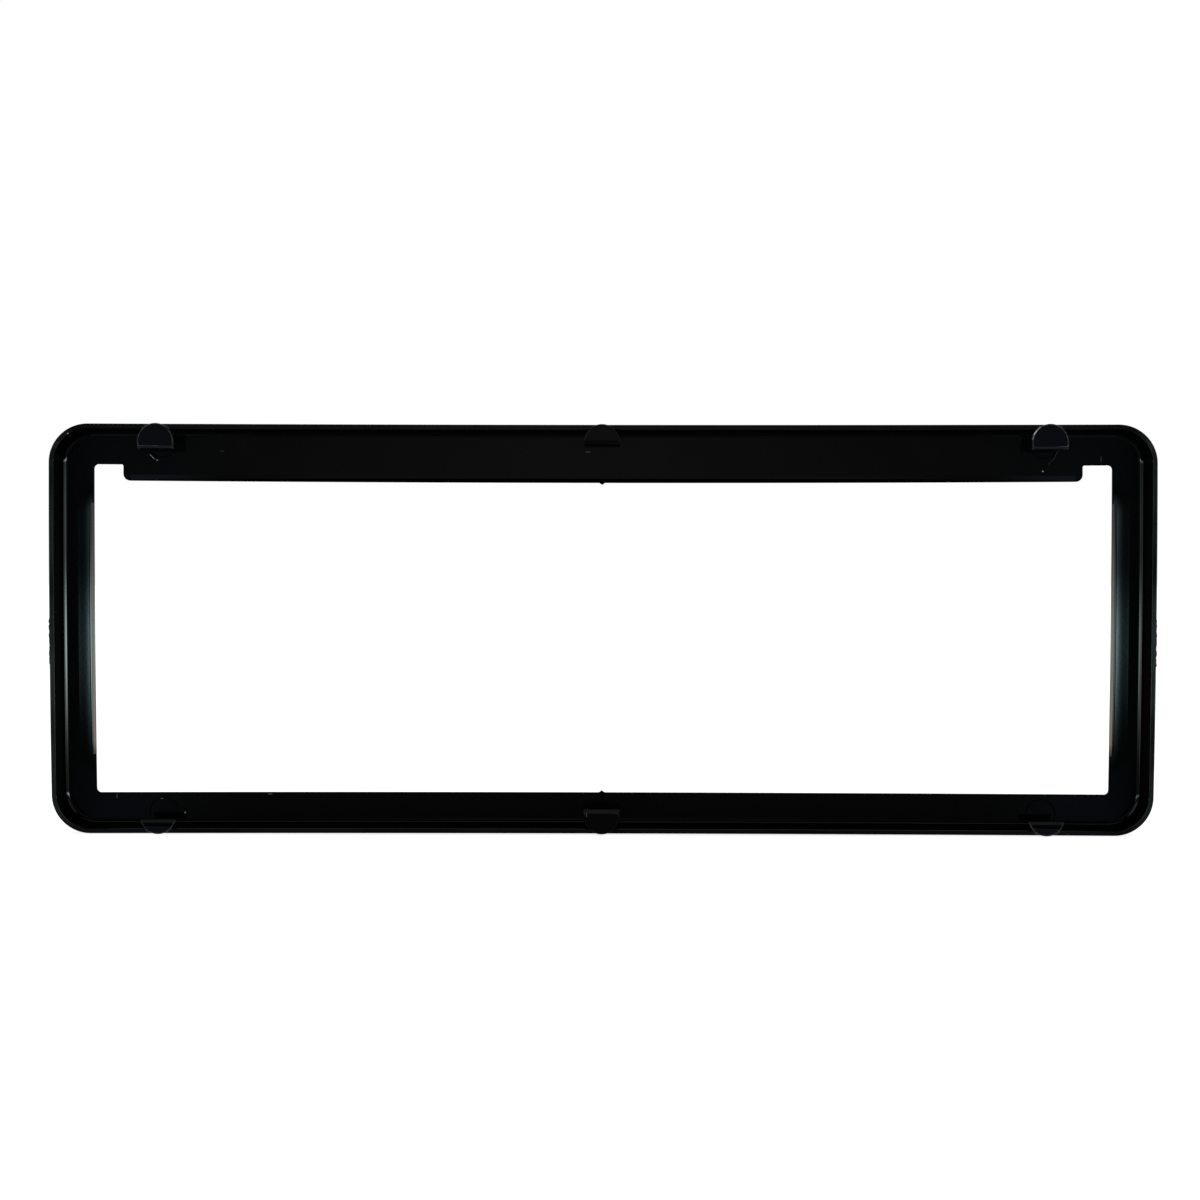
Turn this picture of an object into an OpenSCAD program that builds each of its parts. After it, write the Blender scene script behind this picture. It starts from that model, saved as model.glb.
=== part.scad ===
// Number plate holder: a one-piece moulded surround that clips over a number plate.
// The plate goes in from behind, under six clips, and shows through the window.
// It stands upright: X along the width, Z up, and the clips and rim face +Y.

/* [Number plate] */
// Width of the plate that the pocket holds
plate_w = 372; // [300:1:520]
// Height of that plate
plate_h = 134; // [100:1:200]
// Room between the plate and the foot of the wall at each end
end_gap = 1; // [0.5:0.1:2]
// Room between the plate and the foot of the wall along each long side
long_gap = 1.4; // [0.8:0.1:2]

/* [Frame] */
// Depth from the front face to the top of the rim
rim_h = 11.4; // [9:0.1:16]
// Radius of the outer corners
corner_r = 13.2; // [9:0.1:20]
// Thickness of the face
face_t = 2; // [1.6:0.1:3]
// Thickness of the wall at the rim
wall_t = 1.8; // [1.4:0.1:2.4]
// How much thicker the wall is at its foot, as draft
wall_draft = 0.2; // [0:0.05:0.6]
// Radius of the fillet at the foot of the wall
foot_r = 2; // [0.4:0.1:2.4]
// Radius of the rim's two edges
rim_r = 0.3; // [0.1:0.05:0.65]
// Radius of the front face's outer edge
front_r = 1.8; // [0.8:0.1:2]

/* [Window] */
// How far the face covers the plate along its short sides
side_lap = 9.8; // [7:0.1:20]
// How far the face covers the plate along its upper side, beside the strip
upper_lap = 10.1; // [8:0.1:20]
// How far the face covers the plate along its lower side
lower_lap = 9.4; // [8.9:0.1:20]
// Radius of the window's corners
window_r = 1.5; // [0.6:0.1:3]
// Width of the notch at each end of the strip along the window's upper edge
notch_w = 10.3; // [5:0.1:40]
// How far the strip reaches below the notches
strip_drop = 5.6; // [5:0.1:12]
// Radius of the strip's lower corners
strip_r = 2.4; // [1.8:0.1:3]
// Radius where the strip's ends meet the notches
notch_r = 0.6; // [0.3:0.1:1.5]
// Radius of the window's edge on the front
edge_r = 0.8; // [0.3:0.1:0.8]
// Width of the bevel on the window's edge at the back
bevel_w = 0.9; // [0.3:0.1:1.2]
// Depth of that bevel
bevel_d = 0.4; // [0.1:0.05:0.6]
// Width of the shallow slope behind the strip's lower edge
slope_w = 2.1; // [1.4:0.1:4]
// Depth of that slope at the edge
slope_d = 0.4; // [0.2:0.05:0.6]

/* [Side reliefs] */
// Distance from the relief's ends to the window's corners
relief_inset = 13.4; // [6:0.1:35]
// Width of the relief at the back of the face
relief_w = 1.2; // [0.5:0.1:2]
// Height of the lip left at the front of the relief
relief_lip = 0.9; // [0.9:0.05:1.2]

/* [Clips] */
// Distance of the corner clips from the frame's short sides
clip_inset = 36.5; // [22:0.5:90]
// Radius of a clip's rounded head
clip_r = 6.2; // [5:0.1:6.5]
// Thickness of a clip
clip_t = 1.6; // [1.4:0.1:2.4]
// How far a clip stands above the rim
clip_proud = 0.6; // [0.2:0.05:1]
// Radius of a clip's upper edge
clip_edge_r = 0.45; // [0.2:0.05:0.6]
// Length of the ramp at a clip's nose
ramp_l = 1.2; // [0.6:0.1:1.3]
// Reach of the upper corner clips, from the outer edge to the ramp
upper_reach = 7.5; // [6.6:0.1:9]
// Reach of the upper middle clip
upper_mid_reach = 5.4; // [4:0.1:9]
// Reach of the lower corner clips
lower_reach = 3.4; // [3:0.1:6]
// Reach of the lower middle clip
lower_mid_reach = 7; // [4:0.1:9]
// How far a clip's head stands out past the outer edge
clip_crown = 0.25; // [0.05:0.05:0.5]

/* [Mould marks] */
// Radius of the round recess below each corner clip
pin_r = 5.2; // [3:0.1:5.5]
// Depth of that recess
pin_d = 0.3; // [0.1:0.05:0.5]
// Width of the gate nubs
nub_w = 2; // [1:0.1:4]
// Height of the gate nubs
nub_h = 0.7; // [0.3:0.1:1.5]
// Thickness of the gate nubs
nub_t = 0.7; // [0.4:0.1:0.8]

/* [Hidden] */
$fn = 96;

// A little more than touching, so that a cut goes clean through
past = 0.3;
// Flat margin that a swept section keeps beyond its curves
margin = 0.3;
// Thickness of the wall at its foot
foot_t = wall_t + wall_draft;
// Width and height across the outer edges
frame_w = plate_w + 2 * (end_gap + foot_t);
frame_h = plate_h + 2 * (long_gap + foot_t);
// Width and height of the window, which is at its highest in the notches
window_w = plate_w - 2 * side_lap;
window_h = plate_h - upper_lap - lower_lap;
// Heights of the window's upper edge in the notches, its lower edge and its middle
window_top = plate_h / 2 - upper_lap;
window_foot = lower_lap - plate_h / 2;
window_y = (window_top + window_foot) / 2;
// Band along the outer edge that holds the wall and its fillet
wall_band = foot_t + foot_r + margin;
// Band along the window that holds its rounded and bevelled edge
edge_band = max(edge_r, bevel_w) + margin;
// Height of the clips' tops, which is the depth of the whole frame
depth = rim_h + clip_proud;
// Width of the strip and height of its lower edge
strip_w = window_w - 2 * notch_w;
strip_y = window_top - strip_drop;
// Length of the relief in each short inner edge
relief_l = window_h - 2 * relief_inset;
// Distance of the corner clips from the middle of the frame
clip_x = frame_w / 2 - clip_inset;

// Corners of the outer edge, clockwise, each as [x, y, radius]
outer_path = [
    [-frame_w / 2, frame_h / 2, corner_r],
    [frame_w / 2, frame_h / 2, corner_r],
    [frame_w / 2, -frame_h / 2, corner_r],
    [-frame_w / 2, -frame_h / 2, corner_r]
];

// Corners of the window, clockwise, with a notch at each end of the strip
window_path = [
    [-window_w / 2, window_top, window_r],
    [-strip_w / 2, window_top, notch_r],
    [-strip_w / 2, strip_y, strip_r],
    [strip_w / 2, strip_y, strip_r],
    [strip_w / 2, window_top, notch_r],
    [window_w / 2, window_top, window_r],
    [window_w / 2, window_foot, window_r],
    [-window_w / 2, window_foot, window_r]
];

function before(path, i) = path[(i + len(path) - 1) % len(path)];
function after(path, i) = path[(i + 1) % len(path)];
function point(corner) = [corner[0], corner[1]];
// Unit vector from one corner to another
function way(a, b) = (point(b) - point(a)) / norm(point(b) - point(a));
function heading(a, b) = atan2(b[1] - a[1], b[0] - a[0]);
// True where a clockwise path turns right, so that its arc bulges outward
function turns_right(path, i) =
    let (a = way(before(path, i), path[i]), b = way(path[i], after(path, i)))
    a[0] * b[1] - a[1] * b[0] < 0;
// Centre of the arc at a corner
function arc_centre(path, i) =
    point(path[i]) + path[i][2] * (way(path[i], after(path, i)) - way(before(path, i), path[i]));
function left_of(v) = [-v[1], v[0]];
// The same path moved outward by a distance
function grown(path, by) = [
    for (i = [0 : len(path) - 1])
        let (shift = left_of(way(before(path, i), path[i])) + left_of(way(path[i], after(path, i))))
        let (spot = point(path[i]) + by * shift)
        [spot[0], spot[1], path[i][2] + (turns_right(path, i) ? by : -by)]
];

// The sliver between a square corner and its arc
module corner_web(path, i) {
    centre = arc_centre(path, i);
    r = path[i][2];
    difference() {
        translate([min(centre[0], path[i][0]), min(centre[1], path[i][1])]) square(r);
        translate(centre) circle(r);
    }
}

// The flat area inside a path, with its corners rounded
module path_area(path) {
    difference() {
        union() {
            polygon([for (corner = path) point(corner)]);
            for (i = [0 : len(path) - 1])
                if (!turns_right(path, i)) corner_web(path, i);
        }
        for (i = [0 : len(path) - 1])
            if (turns_right(path, i)) corner_web(path, i);
    }
}

// Sweeps a section round a path: its x is the distance outward, its y the height above the front
module sweep_round(path) {
    for (i = [0 : len(path) - 1]) {
        here = path[i];
        next = after(path, i);
        start = point(here) + here[2] * way(here, next);
        run = norm(point(next) - point(here)) - here[2] - next[2];
        translate(start) rotate([90, 0, heading(here, next) + 90]) linear_extrude(run) children();
        translate(arc_centre(path, i))
            if (turns_right(path, i))
                rotate(heading(here, next) + 90)
                    rotate_extrude(angle = 90) translate([here[2], 0]) children();
            else
                rotate(heading(before(path, i), here) - 90)
                    rotate_extrude(angle = 90) translate([here[2], 0]) mirror([1, 0]) children();
    }
}

// A square with one corner rounded, used to trim a section's corner at the origin
module round_trim(r) {
    difference() {
        translate([-past, -past]) square(r + past);
        translate([r, r]) circle(r);
    }
}

// Section through the wall: face, foot fillet, drafted wall and rounded rim, left of the outer edge
module wall_section() {
    difference() {
        union() {
            translate([-wall_band, 0]) square([wall_band, face_t]);
            polygon([[-foot_t, face_t - past], [0, face_t - past], [0, rim_h], [-wall_t, rim_h], [-foot_t, face_t]]);
            difference() {
                translate([-foot_t - foot_r, face_t - past]) square([foot_r + past, foot_r + past]);
                translate([-foot_t - foot_r, face_t + foot_r]) circle(foot_r);
            }
        }
        mirror([1, 0]) round_trim(front_r);
        translate([0, rim_h]) rotate(180) round_trim(rim_r);
        translate([-wall_t, rim_h]) mirror([0, 1]) round_trim(rim_r);
    }
}

// Section through the window's edge: rounded at the front and bevelled at the back
module edge_section() {
    difference() {
        square([edge_band, face_t]);
        round_trim(edge_r);
        polygon([
            [-past, face_t - bevel_d],
            [0, face_t - bevel_d],
            [bevel_w, face_t],
            [bevel_w, face_t + past],
            [-past, face_t + past]
        ]);
    }
}

// The face between the wall and the window's edge
module face_plate() {
    linear_extrude(face_t)
        difference() {
            path_area(grown(outer_path, -wall_band));
            path_area(grown(window_path, edge_band));
        }
}

// The shallow slope that thins the strip towards its lower edge
module strip_slope() {
    run = strip_w - 2 * strip_r;
    translate([-run / 2, strip_y, face_t]) rotate([90, 0, 90]) linear_extrude(run)
        polygon([[-past, -slope_d], [0, -slope_d], [slope_w, 0], [slope_w, past], [-past, past]]);
}

// The sloping relief in the inner edge of a short side
module side_relief() {
    translate([window_w / 2, window_y + relief_l / 2, 0]) rotate([90, 0, 0]) linear_extrude(relief_l)
        polygon([
            [-past, relief_lip],
            [0, relief_lip],
            [relief_w, face_t],
            [relief_w, face_t + past],
            [-past, face_t + past]
        ]);
}

// Section through a clip, from its middle line to its rounded upper edge
module clip_section() {
    difference() {
        square([clip_r, clip_t]);
        translate([clip_r, clip_t]) rotate(180) round_trim(clip_edge_r);
    }
}

// A clip that reaches towards -Y from an outer edge at y = 0
module clip(reach) {
    tip = reach + ramp_l;
    middle = clip_r - clip_crown;
    translate([0, 0, depth - clip_t])
        difference() {
            union() {
                translate([0, -middle, 0]) rotate_extrude() clip_section();
                if (tip > middle)
                    translate([0, -middle, 0]) rotate([90, 0, 0]) linear_extrude(tip - middle) {
                        clip_section();
                        mirror([1, 0]) clip_section();
                    }
            }
            translate([clip_r + past, 0, 0]) rotate([90, 0, -90]) linear_extrude(2 * (clip_r + past))
                polygon([
                    [reach, clip_t + past],
                    [reach, clip_t],
                    [tip, clip_t - ramp_l],
                    [tip, -past],
                    [3 * clip_r, -past],
                    [3 * clip_r, clip_t + past]
                ]);
        }
}

// The clips of one long side, at an outer edge at y = 0
module clip_row(corner_reach, middle_reach) {
    for (x = [-clip_x, clip_x]) translate([x, 0, 0]) clip(corner_reach);
    clip(middle_reach);
}

// The round recess that the core pin of a corner clip leaves in the face
module pin_mark() {
    translate([0, clip_crown - clip_r, face_t - pin_d])
        intersection() {
            cylinder(r = pin_r, h = pin_d + past);
            translate([-pin_r, -pin_r, 0]) cube([2 * pin_r, pin_r + clip_r - clip_crown - foot_t - foot_r, pin_d + past]);
        }
}

// A gate nub that points towards -Y from an edge at y = 0
module gate_nub() {
    translate([0, 0, (face_t - nub_t) / 2]) linear_extrude(nub_t)
        polygon([[-nub_w / 2, past], [-nub_w / 2, 0], [0, -nub_h], [nub_w / 2, 0], [nub_w / 2, past]]);
}

// The whole moulding, lying on its front face
module moulding() {
    difference() {
        union() {
            sweep_round(outer_path) wall_section();
            sweep_round(window_path) edge_section();
            face_plate();
        }
        strip_slope();
        side_relief();
        mirror([1, 0, 0]) side_relief();
        for (x = [-clip_x, clip_x])
            for (side = [0, 1])
                mirror([0, side, 0]) translate([x, frame_h / 2, 0]) pin_mark();
    }
    translate([0, frame_h / 2, 0]) clip_row(upper_reach, upper_mid_reach);
    mirror([0, 1, 0]) translate([0, frame_h / 2, 0]) clip_row(lower_reach, lower_mid_reach);
    translate([0, strip_y, 0]) gate_nub();
    translate([0, window_foot, 0]) mirror([0, 1, 0]) gate_nub();
}

module plate_frame() {
    color([0.02, 0.022, 0.022])
        rotate([90, 0, 180]) translate([0, 0, -depth / 2]) moulding();
}

plate_frame();
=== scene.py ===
import math
import random

import bpy
from mathutils import Matrix, Vector


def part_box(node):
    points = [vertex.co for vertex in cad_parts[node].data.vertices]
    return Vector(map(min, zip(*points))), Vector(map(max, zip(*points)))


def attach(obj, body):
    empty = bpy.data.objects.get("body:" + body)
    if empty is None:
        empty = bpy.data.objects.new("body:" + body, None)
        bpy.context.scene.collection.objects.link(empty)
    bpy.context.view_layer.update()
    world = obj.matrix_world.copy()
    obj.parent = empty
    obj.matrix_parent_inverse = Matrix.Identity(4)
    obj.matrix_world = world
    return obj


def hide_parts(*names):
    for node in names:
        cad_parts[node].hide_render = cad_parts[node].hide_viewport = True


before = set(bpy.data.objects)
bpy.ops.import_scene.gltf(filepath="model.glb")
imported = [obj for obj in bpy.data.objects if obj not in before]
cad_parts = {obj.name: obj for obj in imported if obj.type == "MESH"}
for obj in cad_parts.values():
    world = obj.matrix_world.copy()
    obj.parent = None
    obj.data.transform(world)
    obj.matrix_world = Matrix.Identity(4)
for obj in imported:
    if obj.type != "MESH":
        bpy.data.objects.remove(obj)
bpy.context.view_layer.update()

scene = bpy.context.scene
random.seed(11)


# ---- shader sums written as Python

class Wire:  # a shader socket that takes part in sums
    def __init__(self, tree, socket):
        self.tree = tree
        self.socket = socket

    def maths(self, operation, *values, clamp=False):
        node = self.tree.nodes.new("ShaderNodeMath")
        node.operation = operation
        node.use_clamp = clamp
        for place, value in zip(node.inputs, values):
            if isinstance(value, Wire):
                self.tree.links.new(value.socket, place)
            else:
                place.default_value = value
        return Wire(self.tree, node.outputs[0])

    def __add__(self, other):
        return self.maths("ADD", self, other)

    def __radd__(self, other):
        return self.maths("ADD", other, self)

    def __sub__(self, other):
        return self.maths("SUBTRACT", self, other)

    def __rsub__(self, other):
        return self.maths("SUBTRACT", other, self)

    def __mul__(self, other):
        return self.maths("MULTIPLY", self, other)

    def __rmul__(self, other):
        return self.maths("MULTIPLY", other, self)

    def __truediv__(self, other):
        return self.maths("DIVIDE", self, other)

    def __pow__(self, other):
        return self.maths("POWER", self, other)

    def size(self):
        return self.maths("ABSOLUTE", self)

    def atLeast(self, other):
        return self.maths("MAXIMUM", self, other)

    def atMost(self, other):
        return self.maths("MINIMUM", self, other)

    def rise(self, start, end):  # 0 at start, 1 at end, smooth between; start may be the larger
        if start > end:
            return 1 - self.rise(end, start)
        node = self.tree.nodes.new("ShaderNodeMapRange")
        node.interpolation_type = "SMOOTHSTEP"
        self.tree.links.new(self.socket, node.inputs["Value"])
        node.inputs["From Min"].default_value = start
        node.inputs["From Max"].default_value = end
        return Wire(self.tree, node.outputs["Result"])


class Graph:  # one material's or world's nodes
    def __init__(self, owner):
        owner.use_nodes = True
        self.tree = owner.node_tree
        self.tree.nodes.clear()

    def node(self, kind, settings=None, **sockets):
        made = self.tree.nodes.new(kind)
        for name, value in (settings or {}).items():
            setattr(made, name, value)
        for name, value in sockets.items():
            numbered = name[0] == "s" and name[1:].isdigit()
            place = made.inputs[int(name[1:]) if numbered else name.replace("_", " ")]
            if isinstance(value, Wire):
                self.tree.links.new(value.socket, place)
            else:
                place.default_value = value
        return made

    def wire(self, made, output=0):
        return Wire(self.tree, made.outputs[output])

    def split(self, vector):
        parts = self.node("ShaderNodeSeparateXYZ", s0=vector)
        return [self.wire(parts, k) for k in range(3)]

    def blend(self, share, first, second):
        mixed = self.node("ShaderNodeMix", {"data_type": "RGBA"}, s0=share, s6=first, s7=second)
        return self.wire(mixed, 2)


# ---- camera

camera = {
    "place": (-0.00383, 0.63157, 0.0329),
    "yaw": -0.407,  # degrees from straight along -Y
    "pitch": 2.066,  # degrees downward
    "roll": 0.086,
    "lens": 54.99,
}


def addCamera(c):
    yaw, pitch, roll = (math.radians(c[k]) for k in ("yaw", "pitch", "roll"))
    look = Vector((-math.sin(yaw) * math.cos(pitch), -math.cos(yaw) * math.cos(pitch), -math.sin(pitch)))
    right = look.cross(Vector((0, 0, 1))).normalized()
    up = right.cross(look)
    across = right * math.cos(roll) + up * math.sin(roll)
    upward = up * math.cos(roll) - right * math.sin(roll)
    data = bpy.data.cameras.new("photoCamera")
    data.lens = c["lens"]
    data.sensor_width = 36
    made = bpy.data.objects.new("photoCamera", data)
    scene.collection.objects.link(made)
    made.rotation_mode = "QUATERNION"
    made.rotation_quaternion = Matrix([[across[k], upward[k], -look[k]] for k in range(3)]).to_quaternion()
    made.location = c["place"]
    scene.camera = made


addCamera(camera)
print("camera placed")


# ---- modelling by hand

mm = 0.001


def startFresh():  # object mode with nothing selected
    if bpy.context.mode != "OBJECT":
        bpy.ops.object.mode_set(mode="OBJECT")
    bpy.ops.object.select_all(action="DESELECT")


def selectOnly(piece):
    startFresh()
    piece.select_set(True)
    bpy.context.view_layer.objects.active = piece


def pick(piece, kind, test):  # leaves edit mode on, with what passes the test selected
    bpy.ops.object.mode_set(mode="EDIT")
    bpy.ops.mesh.select_mode(type=kind)
    bpy.ops.mesh.select_all(action="DESELECT")
    bpy.ops.object.mode_set(mode="OBJECT")
    parts = {"VERT": piece.data.vertices, "EDGE": piece.data.edges, "FACE": piece.data.polygons}[kind]
    for part in parts:
        part.select = test(part)
    bpy.ops.object.mode_set(mode="EDIT")


def ends(piece, edge):
    return [piece.data.vertices[k].co for k in edge.vertices]


def traceFace(name, points):  # a flat face drawn point by point
    startFresh()
    bpy.ops.mesh.primitive_plane_add(size=2 * mm)
    piece = bpy.context.object
    piece.name = name
    bpy.ops.object.mode_set(mode="EDIT")
    bpy.ops.mesh.select_mode(type="VERT")
    bpy.ops.mesh.select_all(action="SELECT")
    bpy.ops.mesh.merge(type="CENTER")
    bpy.ops.transform.translate(value=points[0])
    for here, following in zip(points, points[1:]):
        step = Vector(following) - Vector(here)
        bpy.ops.mesh.extrude_region_move(TRANSFORM_OT_translate={"value": step})
    bpy.ops.mesh.select_all(action="SELECT")
    bpy.ops.mesh.edge_face_add()
    return piece


def bisect(point, normal, **more):  # cuts through all of the piece being edited
    bpy.ops.mesh.select_all(action="SELECT")
    bpy.ops.mesh.bisect(plane_co=point, plane_no=normal, threshold=1e-7, **more)


def thicken(step):  # turns a selected face into a block, its faces pointing outwards
    bpy.ops.mesh.extrude_region_move(TRANSFORM_OT_translate={"value": step})
    bpy.ops.mesh.select_all(action="SELECT")
    bpy.ops.mesh.normals_make_consistent(inside=False)


def carve(piece, tool, operation="DIFFERENCE"):  # cuts a tool away or joins it on, then clears it away
    selectOnly(piece)
    cut = piece.modifiers.new("carve", "BOOLEAN")
    cut.operation = operation
    cut.solver = "EXACT"
    cut.object = tool
    bpy.ops.object.modifier_apply(modifier="carve")
    bpy.data.objects.remove(tool)


def giveMaterial(piece, place):  # to the selected faces of the piece being edited
    piece.active_material_index = place
    bpy.ops.object.material_slot_assign()


def arcCorners(corners, steps):  # corners are (x, z, radius); gives the points of their arcs
    spots = []
    for k, (x, z, radius) in enumerate(corners):
        here = Vector((x, z))
        back = (Vector(corners[k - 1][:2]) - here).normalized()
        ahead = (Vector(corners[(k + 1) % len(corners)][:2]) - here).normalized()
        centre = here + (back + ahead) * radius
        for step in range(steps + 1):
            angle = math.radians(90) * step / steps
            spots.append(centre - ahead * radius * math.cos(angle) - back * radius * math.sin(angle))
    return spots


def roundSteps(radius, count):  # how far each facet of a quarter round goes in and along
    angles = [math.radians(90) * k / count for k in range(count + 1)]
    return [
        (radius * (math.cos(a) - math.cos(b)), radius * (math.sin(b) - math.sin(a)))
        for a, b in zip(angles, angles[1:])
    ]


# ---- the plastic: glossy on the faces, duller on the inner walls

gloss = {
    "colour": (0.0013, 0.0015, 0.0014, 1),
    "worn": (0.0023, 0.0026, 0.0024, 1),
    "roughness": 0.02,
    "haze": 0.02,  # added where the gloss is dulled
    "ior": 1.5,
}

matt = {
    "colour": (0.0007, 0.0009, 0.0008, 1),
    "worn": (0.0014, 0.0016, 0.0015, 1),
    "roughness": 0.35,
    "haze": 0.1,
    "ior": 1.05,
}

wearAndSheen = {
    "tops": (0.0026, 0.0028, 0.0044, 1),  # painted sheen: the tops of the corner clips made lighter and bluish
    "edges": (0.034, 0.035, 0.038, 1),  # painted highlight on their round edges
    "noses": (0.011, 0.012, 0.016, 1),  # painted highlight on the noses of the upper ones
    "clipAcross": 152.5,
    "clipUp": 64.3,
    # painted sheen on the rim's top, in patches
    "rim": (0.022, 0.024, 0.026, 1),
    "rimShare": 0.12,
    "rimSideShare": 0.5,  # more of it on the short sides
    # near white: scuff marks, and painted glints on one clip's round edge
    "scuffAndGlint": (0.8, 0.8, 0.77, 1),
    "scuffAndGlintHaze": 55,
    "scuffsAndGlints": [  # mm: from x, z to x, z, half its width, how strong, and above which height
        (156.7, 60.1, 155.2, 58.6, 0.09, 0.27, -4.6),
        (154.3, 58.2, 154.2, 58.2, 0.2, 0.27, -4.6),
        (-157.4, 61.9, -156.1, 59.0, 0.1, 0.03, -4.6),
        (-156.1, 59.0, -154.0, 57.1, 0.08, 0.025, -4.6),
        (-152.3, 54.7, -152.2, 54.7, 0.22, 0.3, -4.6),
        (145.4, -64.5, 145.3, -64.5, 0.22, 0.27, -4.6),
        (153.8, -59.6, 153.1, -59.6, 0.1, 0.2, -4.6),
        (169.1, -58.0, 169.1, -59.4, 0.06, 0.2, -4.6),
        (-172.2, 59.7, -172.3, 58.0, 0.06, 0.12, -4.6),
        (132.1, 61.4, 131.0, 61.4, 0.07, 0.05, -4.6),
        (5.6, 61.2, 4.2, 61.2, 0.07, 0.15, -4.6),
        (5.1, -62.9, 5.1, -64.0, 0.07, 0.15, -4.6),
        (116.3, -57.9, 115.0, -57.9, 0.08, 0.2, -4.6),
        (182.5, 66.9, 182.4, 66.9, 0.2, 0.27, -4.6),
        (183.0, -65.5, 182.9, -65.6, 0.2, 0.27, -4.6),
        # painted highlight: these four lie on the round edge of the upper corner clip at -X
        (-146.5, 65.3, -146.9, 66.9, 0.12, 0.2, 4.5),
        (-146.9, 66.9, -147.8, 68.3, 0.16, 0.9, 4.5),
        (-147.8, 68.3, -149.0, 69.4, 0.14, 0.5, 4.5),
        (-158.3, 65.6, -157.6, 67.6, 0.1, 0.06, 4.5),
    ],
}

sink = {  # mm: the short sides' faces sink a little towards the window
    "middle": -0.26,
    "from": 182.3,
    "tilt": 0.0075,
    "curve": 0.00069,
    "power": 2.87,
    "flat": 1.2,
    "half": 46,
    "fade": 6,
}


def scuffAndGlintMask(x, y, z, mark):  # how strong one listed mark is along a short line: a scuff, or on one clip's edge a painted glint
    ax, az, bx, bz, half, strong, above = mark
    long = math.hypot(bx - ax, bz - az)
    ux, uz = (bx - ax) / long, (bz - az) / long
    along = (x - ax) * ux + (z - az) * uz
    beyond = (along - along.atLeast(0).atMost(long)).size()
    off = ((x - ax) * uz - (z - az) * ux).size()
    return beyond.atLeast(off).rise(half * 1.3, half * 0.7) * y.rise(above, above + 0.3) * strong


def addWearAndSheen(w, graph, spot, flow, grain, colour):  # gives the new colour, with wear, painted sheen and painted highlights, and the share of scuff marks and painted glints
    x, y, z = spot
    aside = x.size()
    corner = aside.rise(60, 120)
    # painted sheen: the corner clips' tops lighter and bluish
    colour = graph.blend(y.rise(5.5, 5.75) * corner, colour, w["tops"])
    # painted highlight: a broken ring of lighter colour on the corner clips' round edges
    reach = ((aside - w["clipAcross"]) ** 2 + (z.size() - w["clipUp"]) ** 2) ** 0.5
    edge = reach.rise(5.65, 5.9) * reach.rise(6.7, 6.5) * y.rise(4.9, 5.3) * grain.rise(0.3, 0.6)
    colour = graph.blend(edge, colour, w["edges"])
    # painted highlight: the noses of the upper corner clips lighter and bluish
    nose = y.rise(5.1, 5.4) * y.rise(5.99, 5.92) * z.rise(61.6, 62.3) * z.rise(64.4, 63.8)
    colour = graph.blend(nose * corner, colour, w["noses"])
    # painted sheen: the rim's top lighter in patches, more on the short sides
    rimSheen = w["rimShare"] + aside.rise(180, 187) * w["rimSideShare"]
    rimSheen = rimSheen * y.rise(5.0, 5.3) * y.rise(5.6, 5.5) * flow.rise(0.25, 0.6)
    colour = graph.blend(rimSheen, colour, w["rim"])
    # scuff marks, and painted glints along one clip's edge
    scuffAndGlintShare = scuffAndGlintMask(x, y, z, w["scuffsAndGlints"][0])
    for mark in w["scuffsAndGlints"][1:]:
        scuffAndGlintShare = scuffAndGlintShare.atLeast(scuffAndGlintMask(x, y, z, mark))
    return graph.blend(scuffAndGlintShare, colour, w["scuffAndGlint"]), scuffAndGlintShare


def sinkNormal(s, graph, x, z):
    inward = (s["from"] - (x - s["middle"]).size()).atLeast(0)
    depth = inward * s["tilt"] + (inward - s["flat"]).atLeast(0) ** s["power"] * s["curve"]
    depth = depth * z.size().rise(s["half"] + s["fade"], s["half"] - s["fade"])
    return graph.wire(graph.node("ShaderNodeBump", Strength=1.0, Distance=1.0, Height=depth * 0.001))


def blackPlastic(name, g, wearSheenAndSink):  # with it, the plastic shows wear, painted sheen and highlights, and the sink of the sides
    material = bpy.data.materials.new(name)
    graph = Graph(material)
    place = graph.wire(graph.node("ShaderNodeTexCoord"), 3)
    flow = graph.wire(graph.node("ShaderNodeTexNoise", Vector=place, Scale=34.0, Detail=3.0), 0)
    grain = graph.wire(graph.node("ShaderNodeTexNoise", Vector=place, Scale=900.0, Detail=4.0), 0)
    dull = flow.rise(0.52, 0.75) * 0.6 + grain.rise(0.6, 0.8) * 0.4
    colour = graph.blend(dull, g["colour"], g["worn"])
    below = {}  # the slope that the grain lies on
    if wearSheenAndSink:
        spot = [axis * 1000 for axis in graph.split(place)]  # mm
        # wear, with painted sheen and highlights on the clips and the rim
        colour, scuffAndGlintShare = addWearAndSheen(wearAndSheen, graph, spot, flow, grain, colour)
        dull = dull + scuffAndGlintShare * wearAndSheen["scuffAndGlintHaze"]
        below["Normal"] = sinkNormal(sink, graph, spot[0], spot[2])
    bump = graph.node("ShaderNodeBump", Strength=0.08, Distance=0.00002, Height=grain, **below)
    shader = graph.node(
        "ShaderNodeBsdfPrincipled",
        Base_Color=colour,
        Roughness=(g["roughness"] + dull * g["haze"]).atMost(0.6),
        IOR=g["ior"],
        Normal=graph.wire(bump),
    )
    graph.node("ShaderNodeOutputMaterial", Surface=graph.wire(shader))
    return material


shinyPlastic = blackPlastic("blackPlastic", gloss, wearSheenAndSink=True)
dullPlastic = blackPlastic("wallPlastic", matt, wearSheenAndSink=False)


def takeBothPlastics(piece):  # in slots 0 and 1
    for plastic in (shinyPlastic, dullPlastic):
        piece.data.materials.append(plastic)


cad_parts["plate_frame"].data.materials.clear()
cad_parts["plate_frame"].data.materials.append(shinyPlastic)
print("plastic made")


# ---- the moulding: face, wall and rim

low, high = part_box("plate_frame")

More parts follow.
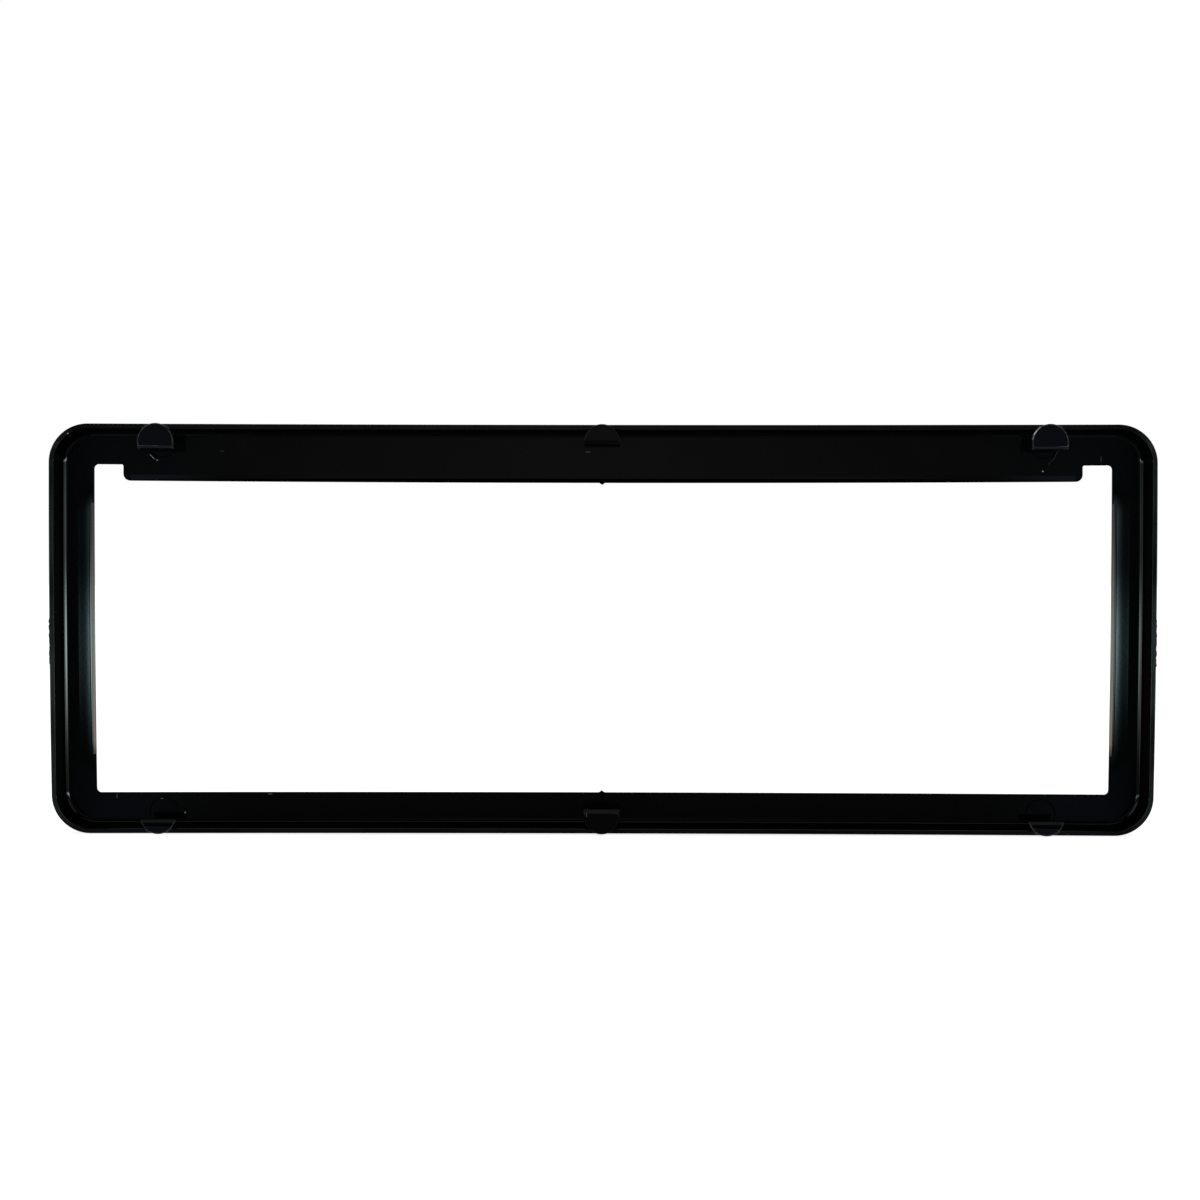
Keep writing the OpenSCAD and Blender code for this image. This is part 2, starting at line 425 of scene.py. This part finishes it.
tray = {  # mm
    "rimTop": 5.4,
    "faceBack": -4,
    "cornerRound": 13.2,
    "cornerSteps": 24,
    "outerHalfHeight": 70.4,
    "frontRound": 1.8,
    "frontSteps": 10,
    "rimRound": 0.3,
    "rimSteps": 6,
    "rimWidth": 1.8,
    "draft": 0.2,
    "footRound": 1.85,
    "footSteps": 12,
    "dullFrom": 3,  # the step of the rim's inner round where the wall's duller plastic starts
    "dullTo": 5,  # and the last step of the foot's round that has it
}


def makeTray(t):
    half = high.x
    tall = t["outerHalfHeight"] * mm
    front = low.y + t["frontRound"] * mm
    corners = [(x * half, z * tall, t["cornerRound"] * mm) for x, z in ((1, 1), (1, -1), (-1, -1), (-1, 1))]
    outline = [(spot.x, front, spot.y) for spot in arcCorners(corners, t["cornerSteps"])]
    piece = traceFace("moulding", outline)
    takeBothPlastics(piece)
    thicken((0, (t["rimTop"] - t["rimRound"]) * mm - front, 0))

    pick(piece, "FACE", lambda face: face.normal.y < -0.9)
    for inward, forward in roundSteps(t["frontRound"] * mm, t["frontSteps"]):
        bpy.ops.mesh.inset(thickness=inward, depth=forward, use_even_offset=True)

    pick(piece, "FACE", lambda face: face.normal.y > 0.9)
    rim = roundSteps(t["rimRound"] * mm, t["rimSteps"])
    for inward, up in rim:
        bpy.ops.mesh.inset(thickness=inward, depth=up, use_even_offset=True)
    bpy.ops.mesh.inset(thickness=(t["rimWidth"] - 2 * t["rimRound"]) * mm, depth=0, use_even_offset=True)
    for step, (up, inward) in enumerate(reversed(rim)):
        if step == t["dullFrom"]:
            giveMaterial(piece, 1)
        bpy.ops.mesh.inset(thickness=inward, depth=-up, use_even_offset=True)
    wall = t["rimTop"] - t["rimRound"] - t["faceBack"] - t["footRound"]
    bpy.ops.mesh.inset(thickness=t["draft"] * mm, depth=-wall * mm, use_even_offset=True)
    for step, (inward, down) in enumerate(roundSteps(t["footRound"] * mm, t["footSteps"])):
        bpy.ops.mesh.inset(thickness=inward, depth=-down, use_even_offset=True)
        if step == t["dullTo"]:
            giveMaterial(piece, 0)
    return piece


frameBody = makeTray(tray)
print("tray shaped")


# ---- its window

window = {  # mm
    "halfWidth": 176.2,
    "top": 56.9,
    "foot": -57.6,
    "stripHalfWidth": 165.9,
    "stripDrop": 5.6,
    "cornerRound": 1.5,
    "notchRound": 0.6,
    "stripRound": 2.4,
    "arcSteps": 10,
    "frontRound": 0.8,
    "frontSteps": 6,
    "bevelWidth": 0.3,
    "bevelDepth": 0.12,
    "overlap": 0.3,  # of the front tool and the back one
    "past": 0.4,  # how far a tool goes beyond the surface it cuts
}


def windowOutline(w, grown, y):
    side, strip = w["halfWidth"] + grown, w["stripHalfWidth"] - grown
    top, foot, hang = w["top"] + grown, w["foot"] - grown, w["top"] - w["stripDrop"] + grown
    outer, inner, hung = w["cornerRound"] + grown, w["notchRound"] + grown, w["stripRound"] - grown
    corners = [
        (side, top, outer), (side, foot, outer), (-side, foot, outer), (-side, top, outer),
        (-strip, top, inner), (-strip, hang, hung), (strip, hang, hung), (strip, top, inner),
    ]
    spots = arcCorners([[v * mm for v in corner] for corner in corners], w["arcSteps"])
    return [(spot.x, y * mm, spot.y) for spot in spots]


def cutWindow(w, t, piece):
    front = low.y / mm
    lip = front + w["frontRound"]
    tool = traceFace("frontTool", windowOutline(w, w["frontRound"], front - w["past"]))
    thicken((0, w["past"] * mm, 0))
    pick(tool, "FACE", lambda face: face.normal.y > 0.9)
    for inward, back in roundSteps(w["frontRound"] * mm, w["frontSteps"]):
        bpy.ops.mesh.inset(thickness=back, depth=inward, use_even_offset=True)
    bpy.ops.mesh.extrude_region_move(TRANSFORM_OT_translate={"value": (0, w["overlap"] * mm, 0)})
    carve(piece, tool)

    tool = traceFace("backTool", windowOutline(w, w["bevelWidth"], t["faceBack"] + w["past"]))
    takeBothPlastics(tool)
    giveMaterial(tool, 1)
    thicken((0, -w["past"] * mm, 0))
    pick(tool, "FACE", lambda face: face.normal.y < -0.9)
    bpy.ops.mesh.inset(thickness=w["bevelWidth"] * mm, depth=w["bevelDepth"] * mm, use_even_offset=True)
    reach = t["faceBack"] - w["bevelDepth"] - lip
    bpy.ops.mesh.extrude_region_move(TRANSFORM_OT_translate={"value": (0, -reach * mm, 0)})
    carve(piece, tool)


cutWindow(window, tray, frameBody)
print("window cut:", len(frameBody.data.polygons), "faces")


# ---- slope behind the strip's lower edge, reliefs in the short sides, core pin marks

recesses = {  # mm
    "slopeWidth": 2.1,
    "slopeDepth": 0.4,
    "reliefHalf": 43.85,
    "reliefMiddle": -0.35,
    "reliefWidth": 0.9,
    "reliefLip": 0.9,
    "reliefRound": 1.0,
    "reliefSteps": 8,
    "reliefCuts": 16,
    "reliefSwell": 0.25,  # how much wider it is at its middle
    "reliefPast": 3,  # how far its tool goes into the window
    "pinAcross": 152.5,
    "pinUp": 64.45,
    "pinRound": 5.2,
    "pinSteps": 96,
    "pinDepth": 0.16,
    "pinSlope": 1.8,
    "pinStop": 66.4,
    "past": 0.4,
}


def cutSlope(r, w, t, piece):
    half = w["stripHalfWidth"] - w["stripRound"]
    edge = w["top"] - w["stripDrop"]
    face = t["faceBack"]
    section = [
        (edge - r["past"], face - r["slopeDepth"]),
        (edge, face - r["slopeDepth"]),
        (edge + r["slopeWidth"], face),
        (edge + r["slopeWidth"], face + r["past"]),
        (edge - r["past"], face + r["past"]),
    ]
    tool = traceFace("slopeTool", [(-half * mm, y * mm, z * mm) for z, y in section])
    thicken((2 * half * mm, 0, 0))
    carve(piece, tool)


def cutRelief(r, w, t, piece, side):
    face, lip = t["faceBack"], low.y / mm + r["reliefLip"]
    start, end = w["halfWidth"], w["halfWidth"] + r["reliefWidth"]
    slope = math.atan2(face - lip, end - start)
    reach = r["reliefRound"] * math.tan(slope / 2)
    centre = (end + reach, face - r["reliefRound"])
    arc = [
        (centre[0] - r["reliefRound"] * math.sin(a), centre[1] + r["reliefRound"] * math.cos(a))
        for a in (slope * (1 - k / r["reliefSteps"]) for k in range(r["reliefSteps"] + 1))
    ]
    section = [(start - r["reliefPast"], lip), (start, lip)] + arc
    section += [(centre[0], face + r["past"]), (start - r["reliefPast"], face + r["past"])]
    foot = r["reliefMiddle"] - r["reliefHalf"]
    tool = traceFace("reliefTool", [(side * x * mm, y * mm, foot * mm) for x, y in section])
    thicken((0, 0, 2 * r["reliefHalf"] * mm))
    for k in range(1, r["reliefCuts"]):
        spot = foot + 2 * r["reliefHalf"] * k / r["reliefCuts"]
        bisect((0, 0, spot * mm), (0, 0, 1))
    bpy.ops.object.mode_set(mode="OBJECT")
    for vertex in tool.data.vertices:
        if abs(vertex.co.x) > (start - 1) * mm:  # not the end that lies in the window
            away = (vertex.co.z / mm - r["reliefMiddle"]) / r["reliefHalf"]
            vertex.co.x += side * r["reliefSwell"] * mm * (1 - away * away)
    carve(piece, tool)


def cutPinMark(r, t, piece, across, up):
    startFresh()
    deep = r["pinDepth"] + r["past"]
    middle = t["faceBack"] - r["pinDepth"] + deep / 2
    bpy.ops.mesh.primitive_cone_add(
        vertices=r["pinSteps"],
        radius1=(r["pinRound"] + r["past"] * r["pinSlope"]) * mm,
        radius2=(r["pinRound"] - r["pinDepth"] * r["pinSlope"]) * mm,
        depth=deep * mm,
        location=(across * r["pinAcross"] * mm, middle * mm, up * r["pinUp"] * mm),
        rotation=(math.radians(90), 0, 0),
    )
    tool = bpy.context.object
    bpy.ops.object.transform_apply(location=True, rotation=True, scale=True)
    takeBothPlastics(tool)
    pick(tool, "FACE", lambda face: abs(face.normal.y) < 0.99)
    giveMaterial(tool, 1)
    bpy.ops.mesh.select_all(action="SELECT")
    stop = (0, 0, up * r["pinStop"] * mm)
    bisect(stop, (0, 0, up), clear_outer=True, use_fill=True)
    carve(piece, tool)


cutSlope(recesses, window, tray, frameBody)
for side in (-1, 1):
    cutRelief(recesses, window, tray, frameBody, side)
for across in (-1, 1):
    for up in (-1, 1):
        cutPinMark(recesses, tray, frameBody, across, up)
print("recesses cut:", len(frameBody.data.polygons), "faces")


# ---- clips and gate nubs

clips = {  # mm
    "round": 6.2,
    "roundSteps": 96,
    "thick": 1.6,
    "top": 6,
    "crown": 0.25,
    "edgeRound": 0.45,
    "ramp": 1.2,
    "noseRound": 0.8,
    "cornerAcross": 152.5,
    "upper": (7.4, 5.4),  # reach of the corner clips and of the middle one
    "lower": (3.4, 7),
}


def addClip(c, t, piece, across, up, reach):
    startFresh()
    edge = t["outerHalfHeight"]
    middle = edge + c["crown"] - c["round"]
    tip = edge - reach - c["ramp"]
    bpy.ops.mesh.primitive_cylinder_add(
        vertices=c["roundSteps"],
        radius=c["round"] * mm,
        depth=c["thick"] * mm,
        location=(across * mm, (c["top"] - c["thick"] / 2) * mm, up * middle * mm),
        rotation=(math.radians(90), 0, 0),
    )
    clip = bpy.context.object
    bpy.ops.object.transform_apply(location=True, rotation=True, scale=True)
    if tip < middle:  # the straight part below the round head
        pick(clip, "VERT", lambda vertex: up * vertex.co.z < (middle - 0.05) * mm)
        bpy.ops.transform.translate(value=(0, 0, up * (tip - middle - 0.5) * mm))
    pick(clip, "EDGE", lambda edge: all(abs(co.y - c["top"] * mm) < 1e-6 for co in ends(clip, edge)))
    bpy.ops.mesh.bevel(offset=c["edgeRound"] * mm, segments=6, affect="EDGES", profile=0.5)
    nose = (0, c["top"] * mm, up * (edge - reach) * mm)
    bisect(nose, (0, 1, -up), clear_outer=True, use_fill=True)
    bisect((0, 0, up * tip * mm), (0, 0, -up), clear_outer=True, use_fill=True)
    pick(clip, "EDGE", lambda edge: all(
        abs(co.y - c["top"] * mm) < 2e-6 and abs(co.z - nose[2]) < 2e-6 for co in ends(clip, edge)
    ))
    bpy.ops.mesh.bevel(offset=c["noseRound"] * mm, segments=8, affect="EDGES", profile=0.5)
    carve(piece, clip, "UNION")


nubs = {"halfWidth": 1.0, "height": 0.7, "thick": 0.7, "sunk": 0.4}  # mm


def addNub(n, t, piece, edge, up):
    middle = (low.y / mm + t["faceBack"]) / 2
    section = [
        (-n["halfWidth"], edge - up * n["sunk"]),
        (-n["halfWidth"], edge),
        (0, edge + up * n["height"]),
        (n["halfWidth"], edge),
        (n["halfWidth"], edge - up * n["sunk"]),
    ]
    nub = traceFace("nub", [(x * mm, (middle - n["thick"] / 2) * mm, z * mm) for x, z in section])
    thicken((0, n["thick"] * mm, 0))
    carve(piece, nub, "UNION")


for across in (-clips["cornerAcross"], 0, clips["cornerAcross"]):
    for up, reaches in ((1, clips["upper"]), (-1, clips["lower"])):
        addClip(clips, tray, frameBody, across, up, reaches[across == 0])
addNub(nubs, tray, frameBody, window["top"] - window["stripDrop"], -1)
addNub(nubs, tray, frameBody, window["foot"], 1)
print("clips and nubs joined:", len(frameBody.data.polygons), "faces")


# ---- warp and smooth shading

burr = {  # mm: a trimmed zone on each short outer edge
    "high": 4.1,
    "low": -12.4,
    "cuts": 28,
    "push": 0.16,
    "spread": 0.13,
}


def roughen(b, piece):
    selectOnly(piece)
    bpy.ops.object.mode_set(mode="EDIT")
    for k in range(b["cuts"] + 1):
        spot = b["low"] + (b["high"] - b["low"]) * k / b["cuts"]
        bisect((0, 0, spot * mm), (0, 0, 1))
    bpy.ops.object.mode_set(mode="OBJECT")
    pushes = {}
    for vertex in piece.data.vertices:
        x, y, z = (value / mm for value in vertex.co)
        if b["low"] - 0.01 < z < b["high"] + 0.01 and abs(x) > high.x / mm - 0.35 and y > 4.5:
            key = (x > 0, round(z, 2))
            if key not in pushes:
                inside = b["low"] + 0.1 < z < b["high"] - 0.1
                pushes[key] = (b["push"] + random.uniform(-1, 1) * b["spread"]) * inside
            vertex.co.x += math.copysign(pushes[key] * mm, x)


warp = {  # mm
    "topRim": 0.36,  # how far each long edge curves inward at its middle
    "topInner": 0.81,
    "footRim": 0.42,
    "footInner": 0.44,
    "side": 0.45,  # how far the short sides curve outward
    "inner": 54,
    "cutsAcross": 26,
    "cutsUp": 12,
    "merge": 0.012,
}

shading = {"angle": 32, "weight": 60}


def bend(w, t, piece):
    selectOnly(piece)
    bpy.ops.object.mode_set(mode="EDIT")
    bpy.ops.mesh.select_all(action="SELECT")
    bpy.ops.mesh.remove_doubles(threshold=w["merge"] * mm)
    bpy.ops.mesh.vert_connect_concave()
    for k in range(1, w["cutsAcross"]):
        spot = low.x + (high.x - low.x) * k / w["cutsAcross"]
        bisect((spot, 0, 0), (1, 0, 0))
    for k in range(1, w["cutsUp"]):
        spot = low.z + (high.z - low.z) * k / w["cutsUp"]
        bisect((0, 0, spot), (0, 0, 1))
    bpy.ops.object.mode_set(mode="OBJECT")
    tall, inner = t["outerHalfHeight"] * mm, w["inner"] * mm
    for vertex in piece.data.vertices:
        x, z = vertex.co.x, vertex.co.z
        rim, deep = (w["topRim"], w["topInner"]) if z > 0 else (w["footRim"], w["footInner"])
        share = min(1, max(0, (tall - abs(z)) / (tall - inner)))
        pull = (rim + (deep - rim) * share) * min(1, abs(z) / inner)
        vertex.co.z -= math.copysign(pull * mm, z) * (1 - (x / high.x) ** 2)
        vertex.co.x += math.copysign(w["side"] * mm, x) * (x / high.x) ** 2 * (1 - (z / tall) ** 2)


def finishShading(s, piece):
    selectOnly(piece)
    bpy.ops.object.shade_smooth_by_angle(angle=math.radians(s["angle"]))
    pick(piece, "FACE", lambda face: abs(face.normal.y) > 0.99999)  # flat faces keep flat normals
    bpy.ops.mesh.region_to_loop()
    bpy.ops.mesh.mark_sharp()
    bpy.ops.object.mode_set(mode="OBJECT")
    weighting = piece.modifiers.new("weighting", "WEIGHTED_NORMAL")
    weighting.keep_sharp = True
    weighting.weight = s["weight"]
    bpy.ops.object.modifier_apply(modifier="weighting")
    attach(piece, "root")
    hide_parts("plate_frame")


roughen(burr, frameBody)
bend(warp, tray, frameBody)
finishShading(shading, frameBody)
print("moulding bent and smoothed:", len(frameBody.data.polygons), "faces")


# ---- floor

floorSheet = {"half": 3.0, "glow": 0.85, "colour": (0.85, 0.85, 0.85, 1)}


def layFloor(f):
    startFresh()
    bpy.ops.mesh.primitive_plane_add(size=2 * f["half"], location=(0, 0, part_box("plate_frame")[0].z))
    sheet = bpy.context.object
    sheet.name = "floor"
    bpy.ops.object.transform_apply(location=True, rotation=True, scale=True)
    material = bpy.data.materials.new("paleFloor")
    graph = Graph(material)
    place = graph.wire(graph.node("ShaderNodeTexCoord"), 3)
    cloud = graph.wire(graph.node("ShaderNodeTexNoise", Vector=place, Scale=3.0, Detail=2.0), 0)
    shader = graph.node(
        "ShaderNodeBsdfPrincipled",
        Base_Color=graph.blend(cloud * 0.1, f["colour"], (1, 1, 1, 1)),
        Roughness=0.9,
        Specular_IOR_Level=0.0,
        Emission_Color=(1, 1, 1, 1),
        Emission_Strength=f["glow"],
    )
    graph.node("ShaderNodeOutputMaterial", Surface=graph.wire(shader))
    sheet.data.materials.append(material)
    sheet.visible_glossy = False


layFloor(floorSheet)
print("floor laid")


# ---- studio light

studio = {
    "white": (1, 1, 1, 1),
    "soft": 0.4,  # what lights matt surfaces
    "room": 0.02,  # the dark room round the camera
    "roomTop": 0.018,
    "roomMiddle": 0.04,
    "corners": 0.025,
    "under": 0.06,
    "overhead": 0.15,
    "middle": 0.0057,  # where the lamps' middle lies, as a slope
    "side": 7.4,  # lamps to either side of the camera
    "farSide": 4.1,  # and further round
    "sideFill": 0.8,  # a narrow band in them, level with the object
    "sideWash": 0.45,  # and a wider, fainter one
    "edgeShare": 0.026,  # of the lamps, in a strip just inside them
    "farShare": 0.8,
    "nearShare": 0.3,  # of the lamp on the +X side, next to the camera
    "high": 0.45,  # lamps higher up on both sides
    "highShare": 0.5,  # of them on the -X side
    "bounce": 0.1,
    "backdrop": 1.0,  # the pale ground behind the object
    "backdropLow": 0.35,
    "cool": (0.75, 0.95, 1.4, 1),
    "teal": (0.66, 1.04, 1.06, 1),
    "plain": (0.98, 1.02, 0.98, 1),
    "warm": (1.16, 1.0, 0.8, 1),
}


def lightStudio(s):  # what the gloss mirrors, by direction; y points to the camera's side
    world = bpy.data.worlds.new("studio")
    scene.world = world
    graph = Graph(world)
    x, y, z = graph.split(graph.wire(graph.node("ShaderNodeTexCoord"), 0))
    ahead = y.atLeast(0.02)
    across = x / ahead  # slopes, in which a flat panel has straight edges
    upward = z / ahead
    aside = (across - s["middle"]).size()
    middle = (across - 0.02).size().rise(0.22, 0.0)
    room = s["room"] + upward.rise(-0.03, 0.03) * (s["roomTop"] + middle * s["roomMiddle"])
    corners = aside.rise(0.19, 0.26) * upward.rise(-0.1, -0.15) * upward.rise(-0.3, -0.22)
    room = room + corners * s["corners"]
    room = room + upward.rise(-0.2, -0.33) * aside.rise(0.24, 0.12) * s["under"]
    room = room * aside.rise(0.31, 0.265) * y.rise(0.85, 0.93)  # ends at the lamps
    bounce = upward.rise(-0.12, -0.3) * upward.rise(-0.95, -0.6) * y.rise(0.5, 0.7)
    room = room + bounce * aside.rise(0.22, 0.26) * s["bounce"]  # from the floor
    wash = z.size().rise(0.045, 0.0) * s["sideFill"]
    wash = wash + (z + 0.03).size().rise(0.16, 0.03) * s["sideWash"]
    near = aside.rise(0.298, 0.36) * y.rise(0.55, 0.62) + aside.rise(0.294, 0.3) * s["edgeShare"]
    near = near * ((z.rise(-0.006, -0.054) * z.rise(-0.12, -0.055)) ** 1.5 * s["side"] + wash)
    far = y.rise(0.42, 0.36) * y.rise(0.03, 0.12) * s["farShare"]
    far = far * ((z.rise(0.004, -0.058) * z.rise(-0.13, -0.08)) ** 1.5 * s["farSide"] + wash)
    lamps = (near + far) * (1 - x.rise(0.36, 0.44) * x.rise(0.92, 0.86) * (1 - s["nearShare"]))
    high = z.rise(0.1, 0.2) * z.rise(0.75, 0.6) * x.size().rise(0.35, 0.5) * y.rise(0.05, 0.2)
    high = high * (s["highShare"] + x.rise(-0.1, 0.1) * (1 - s["highShare"])) * s["high"]
    lamps = lamps + high
    top = z.rise(0.8, 0.86) * s["overhead"] * x.size().rise(0.4, 0.3)
    behind = y.rise(-0.05, -0.25)
    backdrop = s["backdropLow"] + z.rise(-0.4, 0.6) * (s["backdrop"] - s["backdropLow"])
    grey = (room + lamps + top) * (1 - behind) + behind * backdrop
    edges = aside.rise(0.2, 0.27)
    tint = graph.blend(edges * y.rise(0.75, 0.9), s["plain"], s["cool"])
    tint = graph.blend(aside.rise(0.285, 0.295) * y.rise(0.75, 0.9), tint, s["teal"])
    lowSides = z.rise(0.0, -0.11) * z.rise(-0.45, -0.3) * y.rise(0.55, 0.45) * y.rise(-0.05, 0.03)
    tint = graph.blend(aside.rise(0.298, 0.322) * lowSides, tint, s["warm"])
    shine = graph.wire(graph.node("ShaderNodeVectorMath", {"operation": "SCALE"}, s0=tint, Scale=grey))
    paths = graph.node("ShaderNodeLightPath")
    soft = (s["soft"], s["soft"], s["soft"], 1)
    seen = graph.blend(graph.wire(paths, 3), soft, shine)
    seen = graph.blend(graph.wire(paths, 0), seen, s["white"])
    sky = graph.node("ShaderNodeBackground", Color=seen, Strength=1.0)
    graph.node("ShaderNodeOutputWorld", Surface=graph.wire(sky))


lightStudio(studio)
scene.view_settings.view_transform = "Standard"
print("studio lit")
